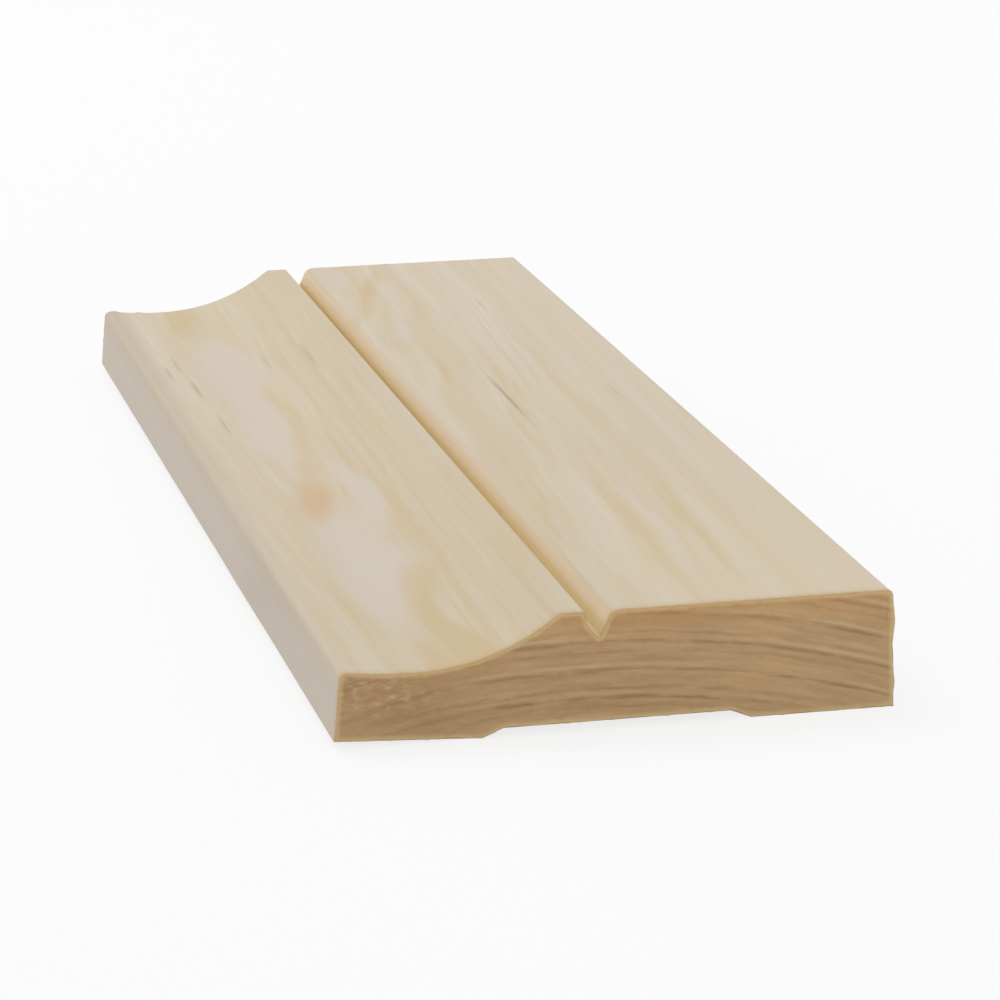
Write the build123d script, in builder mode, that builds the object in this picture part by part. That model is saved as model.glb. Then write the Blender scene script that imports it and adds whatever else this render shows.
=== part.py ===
"""Architrave moulding: one planed length of pine with sawn ends.

The back lies on z = 0, the moulded face looks up and the length runs along Y.
"""
import os

from build123d import *

# Stock
length = 200.0
width = 70.0
thickness = 15.0

# Long edges, each leaning out a little towards the back
thin_edge_height = 9.65
thin_edge_lean = 0.8
thick_edge_lean = 0.3
edge_round = 0.9

# Cove: two arcs that meet level along its lowest line
cove_low_inset = 10.2
cove_low_height = 8.95

# Ridge at the top of the cove, level with the wide flat
ridge_inset = 27.7
ridge_flat = 2.8
ridge_round = 0.4

# Quirk: the groove between the ridge and the wide flat, hollow on the ridge's side
quirk_depth = 3.45
quirk_ridge_run = 2.2
quirk_ridge_radius = 6.3
quirk_lip_run = 1.5
quirk_lip_round = 1.6
quirk_root_round = 0.25

# Back: a shallow recess between two feet, the thin foot lifting to its edge
recess_width = 33.6
recess_depth = 1.05
recess_flank_run = 2.6
thin_foot_rise = 0.95

# Corners of the section, in (x, z)
thin_back = (-width / 2, thin_foot_rise)
thin_top = (-width / 2 + thin_edge_lean, thin_edge_height)
cove_low = (-width / 2 + cove_low_inset, cove_low_height)
ridge_outer = (-width / 2 + ridge_inset, thickness)
ridge_inner = (ridge_outer[0] + ridge_flat, thickness)
quirk_root = (ridge_inner[0] + quirk_ridge_run, thickness - quirk_depth)
quirk_lip = (quirk_root[0] + quirk_lip_run, thickness)
thick_top = (width / 2 - thick_edge_lean, thickness)
thick_back = (width / 2, 0)
recess_mouth = recess_width / 2
recess_top = recess_width / 2 - recess_flank_run

with BuildPart() as architrave_moulding:
    with BuildSketch(Plane.XZ) as section:
        with BuildLine() as outline:
            Polyline(
                thin_top,
                thin_back,
                (-recess_mouth, 0),
                (-recess_top, recess_depth),
                (recess_top, recess_depth),
                (recess_mouth, 0),
                thick_back,
                thick_top,
                quirk_lip,
                quirk_root,
            )
            RadiusArc(quirk_root, ridge_inner, quirk_ridge_radius)
            Line(ridge_inner, ridge_outer)
            TangentArc(cove_low, ridge_outer, tangent=(1, 0))
            TangentArc(cove_low, thin_top, tangent=(-1, 0))
        make_face()

        # Arrises taken off the planed face, and the rounded lip and root of the quirk
        fillet(section.vertices().sort_by_distance(thin_top)[0], edge_round)
        fillet(section.vertices().sort_by_distance(thick_top)[0], edge_round)
        fillet(section.vertices().sort_by_distance(quirk_lip)[0], quirk_lip_round)
        fillet(section.vertices().sort_by_distance(quirk_root)[0], quirk_root_round)
        fillet(section.vertices().sort_by_distance(ridge_inner)[0], ridge_round)
        fillet(section.vertices().sort_by_distance(ridge_outer)[0], ridge_round)
    extrude(amount=length / 2, both=True)

os.makedirs("parts", exist_ok=True)
architrave_moulding.part.label = "architrave_moulding"
export_step(architrave_moulding.part, "parts/architrave_moulding.step")
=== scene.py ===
"""Looks of the architrave moulding: one planed length of pine with sawn ends, on a pale floor.

Lengths are in millimetres in the part's own frame, and become metres where a mesh is made.
"""
import math
from collections import defaultdict

import bpy
import numpy as np
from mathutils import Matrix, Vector, geometry


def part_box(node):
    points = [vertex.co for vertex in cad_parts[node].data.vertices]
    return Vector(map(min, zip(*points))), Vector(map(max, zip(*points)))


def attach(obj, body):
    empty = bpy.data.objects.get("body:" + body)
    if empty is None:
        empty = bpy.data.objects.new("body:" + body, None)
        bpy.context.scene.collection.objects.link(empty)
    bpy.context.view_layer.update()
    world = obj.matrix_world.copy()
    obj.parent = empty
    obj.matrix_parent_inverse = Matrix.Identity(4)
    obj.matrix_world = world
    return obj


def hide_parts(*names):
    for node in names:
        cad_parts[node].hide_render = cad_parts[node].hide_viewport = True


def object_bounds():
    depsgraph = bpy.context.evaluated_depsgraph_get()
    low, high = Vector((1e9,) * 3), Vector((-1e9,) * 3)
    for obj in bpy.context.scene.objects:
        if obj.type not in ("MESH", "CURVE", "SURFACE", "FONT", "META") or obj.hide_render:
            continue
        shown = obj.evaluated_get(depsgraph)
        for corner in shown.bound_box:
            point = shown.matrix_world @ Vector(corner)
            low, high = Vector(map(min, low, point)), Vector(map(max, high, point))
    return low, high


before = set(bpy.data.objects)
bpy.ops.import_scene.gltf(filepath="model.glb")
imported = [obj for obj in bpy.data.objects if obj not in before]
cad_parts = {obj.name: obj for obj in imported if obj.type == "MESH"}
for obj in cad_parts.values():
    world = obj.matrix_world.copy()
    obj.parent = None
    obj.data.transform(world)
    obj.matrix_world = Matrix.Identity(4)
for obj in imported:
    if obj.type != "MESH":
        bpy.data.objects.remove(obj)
cad_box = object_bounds()

NODE = "architrave_moulding"
MM = 0.001

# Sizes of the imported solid, which is centred on x = 0 and y = 0 and lies on z = 0
HALF_WIDTH, HALF_LENGTH, THICKNESS = (round(reach / MM, 3) for reach in cad_box[1])

# Growth rings: the board was cut about 130 mm from the pith, which leans a little, in a tree that tapers
PITH_X = -7.5
PITH_Z = -122.5
PITH_LEAN = -0.025
TAPER = 0.011
RING_WIDTH = 1.167
RING_START = 127.95
FAINT_LINE = 0.5
WANDERS = (
    # size, length along the board, length across it, start angle
    (0.06, 33.0, 11.0, 0.6),
    (0.04, 14.0, -7.0, 2.0),
    (0.02, 6.0, 2.3, 1.0),
    (0.06, 7.0, 30.0, 0.4),
)
SWELLINGS = (
    # x, y, half width, half length, lean, height
    (-15.5, -30.0, 7.0, 70.0, 0.0, 0.2),
    (-36.0, -100.0, 18.0, 300.0, 0.0, 0.6),
)

# Mesh steps: round the outline, over the sawn ends, and along the length, finest at the ends
OUTLINE_STEP = 0.5
END_STEP = 0.5
END_JITTER = 0.3
STATION_STEP = 1.1
STATION_FIRST = 0.1
STATION_GROWTH = 1.35
SHARP_ANGLE = 38.0

# Relief, and the shortest and longest waves of its noise
GRAIN_RELIEF = 0.03
END_RELIEF = 0.10
END_ROUGH = 0.06
END_WAVES = (0.8, 3.0)
ARRIS = 0.24
ARRIS_WAVES = (4.0, 12.0)
BURR = 0.10
BURR_REACH = 0.9
BURR_WAVES = (0.7, 3.0)
WAVE_COUNT = 22
TUFTS = (
    # fibres torn at the sawn ends: side, x, z, height, reach round the outline
    (-1, 34.8, 11.0, 0.30, 1.6),
    (-1, 34.9, 8.1, -0.20, 0.8),
    (-1, 34.9, 3.2, 0.22, 1.0),
    (1, -32.6, 9.6, 0.22, 0.7),
    (1, -28.6, 9.2, 0.26, 0.5),
)

# The ridge's inner arris stands this much further into the groove than in the solid
FEATHER = 0.38
FEATHER_X = -4.5
FEATHER_REACH = 1.3

# Materials of the mesh, and its record of how far the points of a sawn end lie from the rim
PLANED = 0
SAWN = 1
RIM = "rim"
RIM_REACH = 3.0


# Formulas that work on numbers, on arrays and on values in a material


class Wire:
    """A value in a material's node tree that a formula can be written with."""

    def __init__(self, tree, socket):
        self.tree = tree
        self.socket = socket

    def apply(self, operation, *others):
        node = self.tree.nodes.new("ShaderNodeMath")
        node.operation = operation
        for value, into in zip((self, *others), node.inputs):
            join(self.tree, value, into)
        return Wire(self.tree, node.outputs[0])

    def __add__(self, other):
        return self.apply("ADD", other)

    def __sub__(self, other):
        return self.apply("SUBTRACT", other)

    def __rsub__(self, other):
        return (self * -1.0) + other

    def __mul__(self, other):
        return self.apply("MULTIPLY", other)

    def __truediv__(self, other):
        return self.apply("DIVIDE", other)

    __radd__ = __add__
    __rmul__ = __mul__


def join(tree, value, into):
    """Links a Wire to a socket, or sets the socket to a plain value."""
    if isinstance(value, Wire):
        tree.links.new(value.socket, into)
    else:
        into.default_value = value


def sine(v):
    return v.apply("SINE") if isinstance(v, Wire) else np.sin(v)


def root(v):
    return v.apply("SQRT") if isinstance(v, Wire) else np.sqrt(v)


def whole(v):
    return v.apply("FLOOR") if isinstance(v, Wire) else np.floor(v)


def size(v):
    return v.apply("ABSOLUTE") if isinstance(v, Wire) else np.abs(v)


def limit(v):
    """v kept between 0 and 1."""
    return v.apply("MAXIMUM", 0.0).apply("MINIMUM", 1.0) if isinstance(v, Wire) else np.clip(v, 0, 1)


def ramp(v, start, end):
    """0 before start, 1 past end and even between them, whichever of the two is the larger."""
    return limit((v - start) / (end - start))


def spot(x, y, place):
    """A soft leaning ellipse: its strength in the middle, 0 at its edge and outside."""
    middle_x, middle_y, half_width, half_length, lean, strength = place
    along = y - middle_y
    across = (x - middle_x - lean * along) / half_width
    along = along / half_length
    inside = limit(1.0 - across * across - along * along)
    return inside * inside * strength


def season(x, y, z):
    """How far out in the tree a point grew, from the pith, with the wander that real rings have."""
    dx = x - PITH_X - PITH_LEAN * y
    dz = z - PITH_Z
    reach = root(dx * dx + dz * dz) - TAPER * y
    for height, along, across, start in WANDERS:
        reach = reach + height * sine(y / along + x / across + start)
    for place in SWELLINGS:
        reach = reach + spot(x, y, place)
    return reach


def every(count, number, first):
    """1 where number is first, or a multiple of count from it, and 0 at the numbers between."""
    return limit(sine((number - first) * (2 * math.pi / count) + math.pi / 2))


def ring(grown):
    """Latewood, the dark close of a ring, and earlywood, the pale start of the ring after a dark one.

    Every third ring closes dark, and half of the others close faintly.
    """
    turn = (grown - RING_START) / RING_WIDTH
    number = whole(turn)
    wave = 0.5 * sine((turn - number - 0.45) * (2 * math.pi))
    close = 0.5 + wave
    start = 0.5 - wave
    dark = every(3, number, 2.0)
    faint = FAINT_LINE * every(2, number, 0.0) * (1.0 - dark)
    late = close * close * (dark + faint)
    early = start * start * start * every(3, number, 0.0)
    return late, early


# The moulding's mesh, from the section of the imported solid


def walk_outline(node):
    """The near end's outline from the CAD mesh, in order: [(point, outward normal)], in (x, z)."""
    mesh = node.data
    normals = {}
    for loop, corner in zip(mesh.loops, mesh.corner_normals):
        normals[loop.vertex_index] = corner.vector
    near = min(v.co.y for v in mesh.vertices)
    rim = {
        v.index: (round(v.co.x / MM, 4), round(v.co.z / MM, 4))
        for v in mesh.vertices
        if v.co.y < near + 0.1 * MM and abs(normals[v.index].y) < 0.5
    }
    beside = defaultdict(list)
    for edge in mesh.edges:
        a, b = edge.vertices
        if a in rim and b in rim:
            beside[a].append(b)
            beside[b].append(a)

    # A sharp corner has two vertices in one place, so the walk steps over from one to the other
    here = next(i for i in rim if len(beside[i]) == 1)
    order = [here]
    left = set(rim) - {here}
    while left:
        onward = [i for i in beside[here] if i in left] or [i for i in left if rim[i] == rim[here]]
        here = onward[0]
        left.remove(here)
        order.append(here)
    return [(np.array(rim[i]), np.array((normals[i].x, normals[i].z))) for i in order]


def resample(corners, step):
    """Points along the outline, about a step apart, on the smooth curve that the normals give."""
    points = []
    for (p, n), (q, m) in zip(corners, corners[1:] + corners[:1]):
        chord = q - p
        length = np.linalg.norm(chord)
        if length < 1e-3:
            continue
        ahead, beyond = (np.array((-k[1], k[0])) for k in (n, m))
        ahead = ahead * np.sign(ahead @ chord) * length
        beyond = beyond * np.sign(beyond @ chord) * length
        count = max(1, math.ceil(length / step))
        for t in np.arange(count) / count:
            points.append(
                (2 * t**3 - 3 * t**2 + 1) * p
                + (t**3 - 2 * t**2 + t) * ahead
                + (3 * t**2 - 2 * t**3) * q
                + (t**3 - t**2) * beyond
            )
    return np.array(points)


def measure(outline):
    """For each point: an outward step that moves both sides of a corner alike, and the run up to it."""
    onward = np.roll(outline, -1, axis=0)
    ahead = onward - outline
    lengths = np.linalg.norm(ahead, axis=1)
    turning = np.sum(outline[:, 0] * onward[:, 1] - outline[:, 1] * onward[:, 0])
    side = np.stack([ahead[:, 1], -ahead[:, 0]], axis=1) * np.sign(turning) / lengths[:, None]
    behind = np.roll(side, 1, axis=0)
    outward = (side + behind) / (1 + np.sum(side * behind, axis=1))[:, None]
    return outward, np.cumsum(lengths) - lengths


def distance_to(outline, points):
    """How far each point lies from the outline."""
    best = np.full(len(points), np.inf)
    for start, run in zip(outline, np.roll(outline, -1, axis=0) - outline):
        t = np.clip(((points - start) @ run) / (run @ run), 0, 1)
        best = np.minimum(best, np.linalg.norm(points - start - t[:, None] * run, axis=1))
    return best


def clear_of(outline, points, gap):
    """True for the points inside the outline and at least a gap from it."""
    inside = np.zeros(len(points), bool)
    for p, q in zip(outline, np.roll(outline, -1, axis=0)):
        spans = (p[1] > points[:, 1]) != (q[1] > points[:, 1])
        if abs(q[1] - p[1]) > 1e-9:
            cross = p[0] + (points[:, 1] - p[1]) * (q[0] - p[0]) / (q[1] - p[1])
            inside ^= spans & (points[:, 0] < cross)
    return inside & (distance_to(outline, points) > gap)


def stations(half):
    """Places along the length, close together at the sawn ends."""
    place = half
    step = STATION_FIRST
    inner = []
    while step < STATION_STEP:
        inner.append(place)
        place -= step
        step *= STATION_GROWTH
    middle = np.linspace(-place, place, math.ceil(2 * place / STATION_STEP) + 1)
    return np.concatenate([-np.array(inner), middle, np.array(inner[::-1])])


def ripple(seed, waves, *axes):
    """Even, seeded noise about 0: a sum of waves whose lengths lie between the two given."""
    draw = np.random.default_rng(seed)
    total = 0.0
    for _ in range(WAVE_COUNT):
        heading = draw.normal(size=len(axes))
        heading *= 2 * math.pi / (draw.uniform(*waves) * np.linalg.norm(heading))
        total = total + np.sin(sum(k * a for k, a in zip(heading, axes)) + draw.uniform(0, 2 * math.pi))
    return total / math.sqrt(WAVE_COUNT / 2)


def planed_points(outline, along, half):
    """The outline carried along the length, with raised grain, and worn and torn where the saw cut it."""
    outward, run = measure(outline)
    x = outline[None, :, 0]
    y = along[:, None]
    z = outline[None, :, 1]
    inward = half - np.abs(y)
    raised = GRAIN_RELIEF * (ring(season(x, y, z))[0] - 1.0)
    torn = BURR * np.clip(ripple(3, BURR_WAVES, run)[None, :] * np.sign(y) - 0.9, 0, 1)
    for side, tuft_x, tuft_z, height, reach in TUFTS:
        apart = ((x - tuft_x) ** 2 + (z - tuft_z) ** 2) / reach**2
        torn = torn + height * np.exp(-apart) * (np.sign(y) == side)
    fade = np.clip(1 - inward / BURR_REACH, 0, 1) ** 2
    worn = ARRIS * (0.75 + 0.25 * np.clip(ripple(5, ARRIS_WAVES, run), -1, 1))
    eased = worn * np.clip(1 - inward / ARRIS, 0, 1) ** 2
    push = raised + torn * fade - eased
    points = np.stack([x + push * outward[:, 0], y + 0 * x, z + push * outward[:, 1]], axis=-1)
    points[..., 2] = np.maximum(points[..., 2], 0.0)
    return points


def end_points(outline, low, high):
    """Points scattered over a sawn end, inside the outline and clear of it, in (x, z)."""
    across = np.arange(low[0], high[0], END_STEP)
    upward = np.arange(low[2], high[2], END_STEP)
    points = np.stack(np.meshgrid(across, upward), axis=-1).reshape(-1, 2)
    points += np.random.default_rng(11).uniform(-END_JITTER, END_JITTER, points.shape) * END_STEP
    return points[clear_of(outline, points, ARRIS + 0.5 * END_STEP)]


def end_depth(x, z, y):
    """Relief of a sawn end: hard latewood stands proud, and the saw leaves a rough face."""
    grain = END_RELIEF * (ring(season(x, y, z))[0] - 0.7)
    rough = END_ROUGH * ripple(17, END_WAVES, x, 1.6 * z)
    return grain + rough - END_ROUGH


def moulding_mesh(node):
    """A closed mesh of the moulding: planed faces with a faint raised grain, rough sawn ends."""
    low, high = (np.array(corner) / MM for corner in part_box(node.name))
    half = (high[1] - low[1]) / 2
    outline = resample(walk_outline(node), OUTLINE_STEP)
    apart = ((outline[:, 0] - FEATHER_X) ** 2 + (outline[:, 1] - high[2]) ** 2) / FEATHER_REACH**2
    outline[:, 0] += FEATHER * np.exp(-apart)
    body = planed_points(outline, stations(half), half)
    scatter = end_points(outline, low, high)
    rows, count = body.shape[:2]

    # Planed faces join each station to the next
    faces = []
    for row in range(rows - 1):
        here = row * count
        after = here + count
        for i in range(count):
            j = (i + 1) % count
            faces.append((here + i, here + j, after + j, after + i))
    planed = len(faces)

    # Sawn ends join the outermost stations to the scattered points
    flat = [Vector(p) for p in np.concatenate([outline, scatter])]
    loop = [(i, (i + 1) % count) for i in range(count)]
    triangles = geometry.delaunay_2d_cdt(flat, loop, [], 1, 1e-6)[2]
    verts = [body.reshape(-1, 3)]
    start = rows * count
    for side, row in ((-1, 0), (1, rows - 1)):
        depth = end_depth(scatter[:, 0], scatter[:, 1], side * half)
        verts.append(np.stack([scatter[:, 0], side * (half + depth), scatter[:, 1]], axis=-1))
        for triangle in triangles:
            ids = [row * count + k if k < count else start + k - count for k in triangle]
            faces.append(ids if side < 0 else ids[::-1])
        start += len(scatter)

    mesh = bpy.data.meshes.new("pine_moulding")
    mesh.from_pydata((np.concatenate(verts) * MM).tolist(), [], faces)
    slots = [PLANED] * planed + [SAWN] * (len(faces) - planed)
    mesh.polygons.foreach_set("material_index", slots)
    rim = np.zeros(len(mesh.vertices), np.float32)
    rim[rows * count:] = np.tile(np.clip(distance_to(outline, scatter), 0, RIM_REACH), 2)
    mesh.attributes.new(RIM, "FLOAT", "POINT").data.foreach_set("value", rim)
    mesh.update()
    mesh.validate()
    return mesh


# Tools for materials

NOISE_STEP = 17.3


def srgb(*values):
    """A colour as seen, 0 to 255, as the linear value that a shader takes."""
    return tuple(((v / 255 + 0.055) / 1.055) ** 2.4 for v in values) + (1.0,)


def new_material(name):
    material = bpy.data.materials.new(name)
    material.use_nodes = True
    tree = material.node_tree
    return material, tree, tree.nodes["Principled BSDF"]


def point_wires(tree):
    """The point being shaded, in millimetres in the part's frame."""
    where = tree.nodes.new("ShaderNodeTexCoord")
    split = tree.nodes.new("ShaderNodeSeparateXYZ")
    tree.links.new(where.outputs["Object"], split.inputs[0])
    return [Wire(tree, split.outputs[i]) * (1 / MM) for i in range(3)]


def noise(tree, seed, detail, *axes):
    """Noise from 0 to 1, mean 0.5, over the given axes."""
    gather = tree.nodes.new("ShaderNodeCombineXYZ")
    for axis, into in zip(axes, gather.inputs):
        join(tree, axis + NOISE_STEP * seed, into)
    texture = tree.nodes.new("ShaderNodeTexNoise")
    texture.inputs["Scale"].default_value = 1.0
    texture.inputs["Detail"].default_value = detail
    tree.links.new(gather.outputs[0], texture.inputs["Vector"])
    return Wire(tree, texture.outputs["Fac"])


def mix(tree, share, first, second):
    """Colour between first and second, through the colour sockets of a Mix node."""
    node = tree.nodes.new("ShaderNodeMix")
    node.data_type = "RGBA"
    join(tree, share, node.inputs["Factor"])
    join(tree, first, node.inputs[6])
    join(tree, second, node.inputs[7])
    return Wire(tree, node.outputs[2])


def bump(tree, shader, height, strength, distance):
    """Fine relief in the shading alone, up to a distance in millimetres."""
    node = tree.nodes.new("ShaderNodeBump")
    node.inputs["Strength"].default_value = strength
    node.inputs["Distance"].default_value = distance * MM
    join(tree, height, node.inputs["Height"])
    tree.links.new(node.outputs[0], shader.inputs["Normal"])


# Planed pine

EARLYWOOD = srgb(214, 203, 185)
LATEWOOD = srgb(206, 184, 146)
TONGUE = srgb(211, 199, 184)
WARM = srgb(224, 204, 172)
ORANGE = srgb(207, 177, 138)
GREY = srgb(197, 181, 157)
RESIN = srgb(168, 144, 112)
# Painted shade for the thin edge: darker on its arris and greyer down its side
THIN_ARRIS_SHADE = srgb(197, 182, 160)
THIN_SIDE_SHADE = srgb(202, 191, 177)
# The groove's colours: painted shade and partly burnish in its depth, painted shade at its root and
# painted light on its lip
GROOVE_SHADE_AND_BURNISH = srgb(222, 201, 152)
GROOVE_ROOT_SHADE = srgb(204, 176, 122)
LIP_PAINTED_LIGHT = srgb(234, 213, 182)
SAW_TINT = srgb(198, 162, 108)

COVE_RISE_X = -9.5
GROOVE_X = -2.4
GROOVE_HALF_WIDTH = 2.2
FIBRE_LEAN = 0.06
OUTER_RINGS = (139.8, 141.3)

# Soft spots on the moulded face: x, y, half width, half length, lean, strength
PALE_TONGUES = (
    (-21.2, 55.0, 9.6, 48.0, 0.0, 1.0),
    (-21.6, 22.0, 6.4, 42.0, 0.02, 1.0),
    (-15.8, -22.0, 3.5, 36.0, 0.0, 1.0),
    (-21.2, -46.0, 10.4, 40.0, 0.02, 1.0),
    (-22.0, -64.0, 7.0, 36.0, 0.02, 1.0),
    (4.8, 52.0, 3.2, 20.0, 0.1, 0.7),
    (2.0, 92.0, 4.0, 20.0, 0.0, 0.7),
    (6.4, -70.0, 2.2, 60.0, 0.06, 0.6),
    (14.6, -66.0, 2.2, 60.0, 0.05, 0.8),
    (2.2, -60.0, 2.4, 20.0, 0.05, 0.6),
)
TAN_BANDS = (
    (-22.8, 88.0, 3.6, 28.0, 0.0, 0.35),
    (-17.5, -90.0, 3.0, 40.0, 0.0, 1.0),
    (-22.0, -106.0, 5.0, 26.0, 0.0, 0.8),
    (-17.6, 24.0, 2.2, 40.0, 0.03, 0.35),
    (-31.6, -84.0, 1.8, 34.0, 0.0, 0.25),
    (19.8, -60.0, 2.0, 60.0, 0.077, 0.5),
    (11.6, -68.0, 2.0, 56.0, 0.041, 0.5),
    (9.4, -12.0, 1.7, 34.0, 0.07, 0.5),
    (5.4, 30.0, 1.6, 24.0, 0.05, 0.4),
    (2.8, -92.0, 2.0, 28.0, 0.0, 0.5),
    (20.6, 20.0, 1.7, 50.0, 0.03, 0.3),
    (4.4, 76.0, 3.0, 30.0, 0.3, 0.6),
    (12.6, 10.0, 1.8, 44.0, 0.05, 0.3),
)
ORANGE_TIPS = (
    (-22.2, -21.0, 3.8, 17.0, 0.05, 0.95),
    (-20.4, -5.0, 2.8, 9.0, 0.1, 0.5),
    (-18.4, -64.0, 2.2, 10.0, 0.0, 0.5),
)
RESIN_DASHES = (
    (11.2, 6.0, 0.55, 22.0, 0.01, 0.75),
    (-30.5, 56.0, 0.6, 7.0, 0.0, 0.4),
    (-28.4, 62.0, 0.5, 8.0, 0.0, 0.5),
    (-27.8, 46.0, 0.5, 9.0, 0.0, 0.5),
    (-27.4, 24.0, 0.5, 10.0, 0.0, 0.5),
    (-15.6, 55.0, 0.5, 7.0, 0.0, 0.35),
    (-10.2, 48.0, 0.5, 12.0, 0.0, 0.35),
    (27.2, 5.0, 0.4, 7.0, 0.0, 0.35),
    (21.0, 67.0, 0.4, 7.0, 0.0, 0.3),
)


def planed_pine():
    """Planed flat-sawn pine: soft bands along the rings, fine fibre streaks and short resin dashes."""
    material, tree, shader = new_material("planed pine")
    point = point_wires(tree)
    x, y, z = point
    grown = season(x, y, z)
    late = ring(grown)[0]
    across = x - FIBRE_LEAN * y * ramp(x, -3.0, 3.0)
    years = noise(tree, 3, 2.0, grown * 2.4, y * 0.008)
    streak = noise(tree, 1, 3.0, across * 1.3, y * 0.02, z * 1.3)
    fibre = noise(tree, 2, 3.0, across * 6.0, y * 0.09, z * 6.0)
    cloud = noise(tree, 4, 2.0, x * 0.1, y * 0.025, z * 0.1)
    grey = noise(tree, 9, 2.0, across * 2.2, y * 0.012, z * 2.2)

    # Bands fade on the outer rings, beside the thin edge and on the rise of the cove
    outer = 1.0 - 0.6 * ramp(grown, *OUTER_RINGS)
    thin_part = 1.0 - 0.5 * ramp(x + HALF_WIDTH, 9.0, 6.0)
    rise = ramp(size(x - COVE_RISE_X), 8.4, 1.4)
    clear = outer * thin_part * (1.0 - 0.5 * rise)
    share = 0.3 + 0.25 * rise + clear * (0.4 * late * (0.5 + cloud) + 1.3 * (years - 0.5))
    share = share + 0.6 * (streak - 0.5) + 0.3 * (fibre - 0.5)

    # Spots lie on the moulded face alone and waver with the grain, and tongues have a tan edge
    face = ramp(z, 7.0, 8.0)
    wavering = x + 1.2 * (streak - 0.5) + 5.0 * (cloud - 0.5) + 0.5 * sine(y / 6.0 + x / 4.0)
    tongues = [spot(wavering, y, place) for place in PALE_TONGUES]
    for place in TAN_BANDS:
        share = share + spot(wavering, y, place) * face
    for inside in tongues:
        share = share + 0.8 * inside * (1.0 - inside) * face
    colour = mix(tree, limit(share), EARLYWOOD, LATEWOOD)
    colour = mix(tree, limit(3.0 * (grey - 0.5)) * (0.2 + 0.5 * rise), colour, GREY)
    for inside in tongues:
        colour = mix(tree, 0.8 * limit(1.8 * inside - 0.4) * face, colour, TONGUE)
    for place in ORANGE_TIPS:
        colour = mix(tree, spot(wavering, y, place) * face, colour, ORANGE)
    colour = mix(tree, 0.3 * ramp(y, -20.0, -90.0) * ramp(x, 0.0, 6.0) * face, colour, WARM)
    for place in RESIN_DASHES:
        dash = spot(x + 0.8 * (streak - 0.5), y, place) * limit(0.2 + 1.6 * fibre)
        colour = mix(tree, dash * face, colour, RESIN)

    colour = groove_tint(tree, point, streak, colour)
    colour = edge_tint(tree, point, streak, colour)
    join(tree, colour, shader.inputs["Base Color"])
    join(tree, 0.52 + 0.2 * fibre, shader.inputs["Roughness"])
    shader.inputs["Specular IOR Level"].default_value = 0.3
    bump(tree, shader, fibre + 0.6 * late, 0.3, 0.05)
    return material


def groove_tint(tree, point, streak, colour):
    """Painted shade, partly burnish, browns the groove in its depth, painted light pales its lip, and
    painted shade darkens its root towards the far end.
    """
    x, y, z = point
    below = THICKNESS - z
    inside = limit(3.0 * (GROOVE_HALF_WIDTH - size(x - GROOVE_X))) * limit(1.5 * (below - 0.3))
    # Painted shade, partly burnish, in the groove's depth, and painted light on its upper lip
    deep_shade = limit(1.8 * (below - 1.6) + 0.8 * (streak - 0.5))
    colour = mix(tree, 0.9 * inside, colour, mix(tree, deep_shade, LIP_PAINTED_LIGHT, GROOVE_SHADE_AND_BURNISH))
    # Painted shade at the groove's root, stronger towards the far end
    root_shade = limit(3.0 * (below - 2.2)) * ramp(y, -70.0, 20.0)
    return mix(tree, 0.7 * inside * root_shade, colour, GROOVE_ROOT_SHADE)


def edge_tint(tree, point, streak, colour):
    """Painted shade makes the thin edge darker at its arris and greyer towards the back, and the saw
    tints the ends.
    """
    x, y, z = point
    from_thin = x + HALF_WIDTH
    # Painted shade on the thin edge's arris, stronger towards the far end, then painted grey shade down
    # its side
    arris = ramp(from_thin - 0.012 * y, 3.8, 1.2) * (0.75 + 0.002 * y)
    colour = mix(tree, arris, colour, THIN_ARRIS_SHADE)
    side_shade = limit(1.5 * (1.8 - from_thin)) * ramp(z, 9.4, 5.4)
    colour = mix(tree, 0.85 * side_shade, colour, THIN_SIDE_SHADE)
    near_end = ramp(y + HALF_LENGTH, 2.6, 0.2)
    colour = mix(tree, near_end * near_end * (0.2 + 0.6 * streak), colour, SAW_TINT)
    both_ends = ramp(HALF_LENGTH - size(y), 0.5, 0.1)
    return mix(tree, 0.7 * both_ends, colour, SAW_TINT)


# Sawn pine

END_EARLYWOOD = srgb(205, 171, 126)
END_LATEWOOD = srgb(162, 126, 88)
END_DRY = srgb(138, 102, 76)
END_FLECK = srgb(218, 194, 156)
END_TORN = srgb(176, 128, 98)
END_TOP = srgb(208, 160, 104)
END_RIM = srgb(190, 136, 74)
# Painted highlight on the arris of a sawn end
END_RIM_HIGHLIGHT = srgb(222, 194, 146)
SCORCH_X = 7.0


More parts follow.
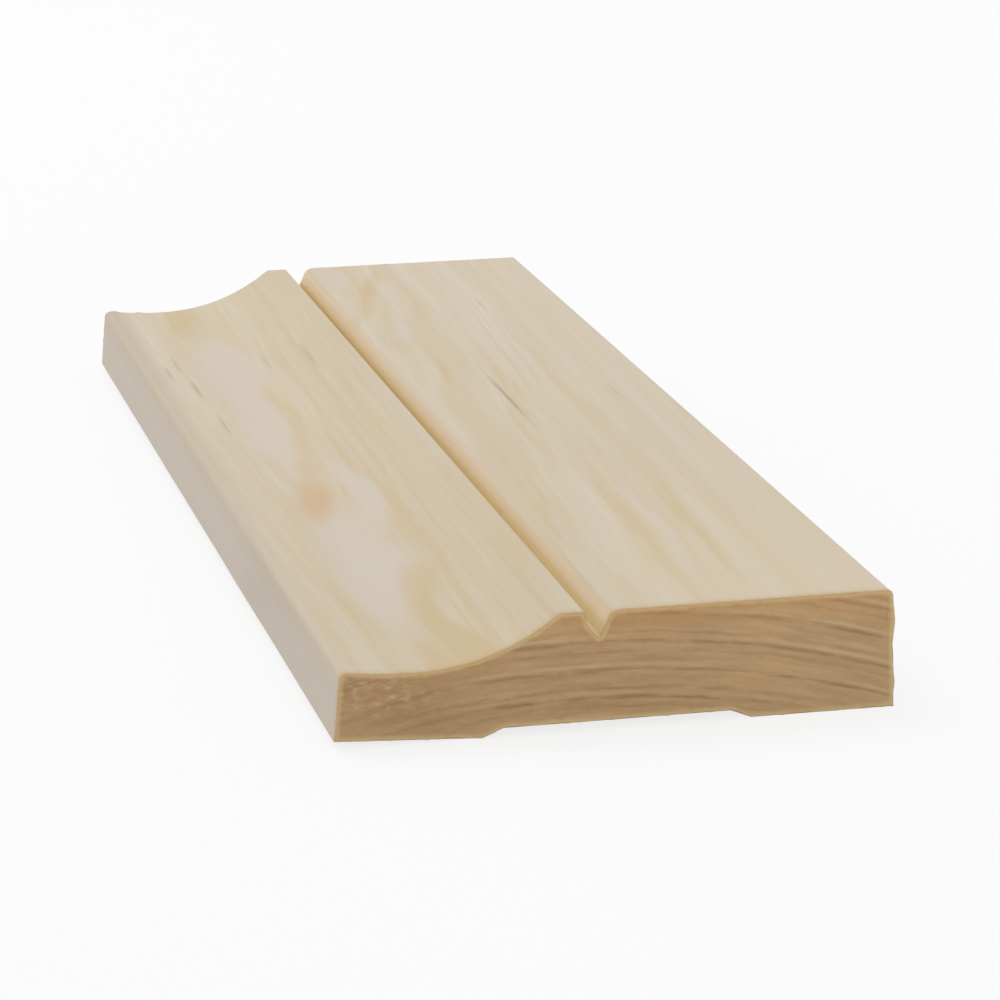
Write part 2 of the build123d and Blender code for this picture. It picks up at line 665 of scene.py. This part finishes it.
def sawn_pine():
    """Rough end grain: arcs of dark latewood, pale torn flecks and a scorched top rim."""
    material, tree, shader = new_material("sawn pine end grain")
    point = point_wires(tree)
    x, y, z = point
    grown = season(x, y, z)
    late, early = ring(grown)
    around = x - PITH_X
    smear = noise(tree, 5, 3.0, around * 0.16, grown * 1.3)
    fleck = noise(tree, 6, 2.0, around * 0.55, grown * 3.2)
    pore = noise(tree, 7, 2.0, x * 7.0, z * 7.0)
    broad = noise(tree, 8, 2.0, around * 0.05, grown * 0.35)
    blotch = noise(tree, 11, 1.0, x * 0.8, z * 1.2)

    # Dark lines, broken by smears, close the rings, and here and there a pale line opens the next
    left = ramp(x, -14.0, -22.0)
    right = ramp(x, 4.0, 16.0)
    streaked = (0.85 - 0.4 * left) * (smear - 0.5) + 0.9 * (broad - 0.5)
    colour = mix(tree, limit(0.32 + streaked + 0.2 * left - 0.12 * right), END_EARLYWOOD, END_LATEWOOD)
    strength = 0.42 - 0.1 * left + 0.16 * ramp(z, 6.0, 4.5) * (1.0 - left)
    colour = mix(tree, strength * late * limit(4.0 * smear - 1.3), colour, END_DRY)
    colour = mix(tree, 0.5 * early * limit(6.0 * (broad - 0.42)) * (1.0 - left), colour, END_FLECK)
    colour = mix(tree, 0.42 * ramp(THICKNESS - z, 3.5, 0.5), colour, END_TOP)

    # Flecks lie all over, and the fibre under the cove's thin side is torn
    torn = ramp(x, -22.0, -28.0) * ramp(z, 3.5, 5.5)
    colour = mix(tree, ramp(fleck, 0.56, 0.76) * (0.25 + 0.3 * torn), colour, END_FLECK)
    colour = mix(tree, 0.5 * ramp(blotch, 0.52, 0.77) * torn, colour, END_FLECK)
    colour = mix(tree, 0.5 * ramp(blotch, 0.46, 0.21) * torn, colour, END_TORN)
    colour = mix(tree, 0.2 * limit(1.2 * (pore - 0.5)), colour, END_LATEWOOD)

    colour = rim_tint(tree, point, smear, colour)
    join(tree, colour, shader.inputs["Base Color"])
    shader.inputs["Roughness"].default_value = 0.85
    shader.inputs["Specular IOR Level"].default_value = 0.15
    bump(tree, shader, pore + 0.3 * late + fleck, 0.4, 0.1)
    return material


def rim_tint(tree, point, smear, colour):
    """A sawn end has painted light at its foot against the floor's contact shade, is scorched along its
    top rim, and has a painted highlight on its arris.
    """
    x, _, z = point
    edge = tree.nodes.new("ShaderNodeAttribute")
    edge.attribute_name = RIM
    from_rim = Wire(tree, edge.outputs["Fac"])
    # Painted light pales the foot of a sawn end, against the floor's contact shade
    colour = mix(tree, 0.5 * ramp(z, 3.4, 0.8), colour, END_EARLYWOOD)
    scorched = 0.5 + 0.5 * ramp(size(x - SCORCH_X), 16.8, 4.8)
    upper = ramp(z, 4.0, 8.0) * limit(1.2 * (HALF_WIDTH - 0.6 - size(x)))
    top_rim = ramp(from_rim, 1.1, 0.1) * scorched * upper
    colour = mix(tree, top_rim * (0.5 + 0.8 * smear), colour, END_RIM)
    # A painted highlight on the arris round the rim, weaker at the thin edge
    rim_highlight = 0.55 + 0.2 * ramp(x + HALF_WIDTH, 1.0, 5.0)
    return mix(tree, rim_highlight * limit(1.2 - 1.5 * from_rim), colour, END_RIM_HIGHLIGHT)


# Stage: floor, light and camera

FLOOR_REACH = 6000.0
FLOOR_COLOUR = (0.9, 0.9, 0.9, 1.0)
FLOOR_WHITE = 0.8
SKY_LIGHT = 0.77
SKY_TINT = (0.97, 0.985, 1.0, 1.0)
SKY_SEEN = (1.0, 1.0, 1.0, 1.0)
KEY_PLACE = (-350.0, 500.0, 900.0)
KEY_AIM = (0.0, 0.0, 0.0)
KEY_SIDE = 700.0
KEY_POWER = 3.2
KEY_TINT = (1.0, 0.985, 0.96)
CAMERA_PLACE = (-124.06, -573.34, 162.89)
CAMERA_TURN = (74.66, 0.27, -13.10)
CAMERA_LENS = 153.1
CAMERA_SENSOR = 36.0
CAMERA_NEAR = 10.0


def new_object(name, data):
    """An object of the given data, in the scene."""
    thing = bpy.data.objects.new(name, data)
    bpy.context.scene.collection.objects.link(thing)
    return thing


def show_white(tree, lit, white, share, output):
    """Blends in white where the camera, a reflection or glass looks, and leaves the light as it is."""
    path = tree.nodes.new("ShaderNodeLightPath")
    camera, glossy, through = (
        Wire(tree, path.outputs[f"Is {kind} Ray"]) for kind in ("Camera", "Glossy", "Transmission")
    )
    looking = camera.apply("MAXIMUM", glossy).apply("MAXIMUM", through)
    blend = tree.nodes.new("ShaderNodeMixShader")
    join(tree, looking * share, blend.inputs[0])
    tree.links.new(lit.outputs[0], blend.inputs[1])
    tree.links.new(white.outputs[0], blend.inputs[2])
    tree.links.new(blend.outputs[0], tree.nodes[output].inputs["Surface"])


def plain_floor():
    """A wide pale floor that keeps a light shadow and fades to white."""
    reach = FLOOR_REACH * MM
    corners = [(-reach, -reach, 0), (reach, -reach, 0), (reach, reach, 0), (-reach, reach, 0)]
    mesh = bpy.data.meshes.new("floor")
    mesh.from_pydata(corners, [], [(0, 1, 2, 3)])
    material, tree, shader = new_material("pale floor")
    shader.inputs["Base Color"].default_value = FLOOR_COLOUR
    shader.inputs["Roughness"].default_value = 1.0
    shader.inputs["Specular IOR Level"].default_value = 0.0
    show_white(tree, shader, tree.nodes.new("ShaderNodeEmission"), FLOOR_WHITE, "Material Output")
    mesh.materials.append(material)
    new_object("floor", mesh)


def pale_world():
    """Even light from all round, seen as white."""
    world = bpy.data.worlds.new("studio")
    bpy.context.scene.world = world
    world.use_nodes = True
    tree = world.node_tree
    light = tree.nodes["Background"]
    light.inputs["Color"].default_value = SKY_TINT
    light.inputs["Strength"].default_value = SKY_LIGHT
    white = tree.nodes.new("ShaderNodeBackground")
    white.inputs["Color"].default_value = SKY_SEEN
    show_white(tree, light, white, 1.0, "World Output")


def key_lamp():
    """One large square lamp, above the far end on the thin edge's side."""
    lamp = bpy.data.lights.new("key", "AREA")
    lamp.size = KEY_SIDE * MM
    lamp.energy = KEY_POWER
    lamp.color = KEY_TINT
    holder = new_object("key", lamp)
    holder.location = Vector(KEY_PLACE) * MM
    holder.rotation_euler = (Vector(KEY_AIM) - Vector(KEY_PLACE)).to_track_quat("-Z", "Y").to_euler()


def photo_camera():
    """The camera at the photograph's viewing angle."""
    camera = bpy.data.cameras.new("camera")
    camera.lens = CAMERA_LENS
    camera.sensor_width = CAMERA_SENSOR
    camera.clip_start = CAMERA_NEAR * MM
    holder = new_object("camera", camera)
    holder.location = Vector(CAMERA_PLACE) * MM
    holder.rotation_euler = [math.radians(angle) for angle in CAMERA_TURN]
    bpy.context.scene.camera = holder


def dress_moulding():
    """The moulding that is seen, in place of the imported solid."""
    mesh = moulding_mesh(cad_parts[NODE])
    mesh.materials.append(planed_pine())
    mesh.materials.append(sawn_pine())
    mesh.shade_smooth()
    mesh.set_sharp_from_angle(angle=math.radians(SHARP_ANGLE))
    piece = new_object("pine_moulding", mesh)
    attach(piece, "root")
    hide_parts(NODE)


dress_moulding()
plain_floor()
pale_world()
key_lamp()
photo_camera()
bpy.context.scene.view_settings.view_transform = "Standard"
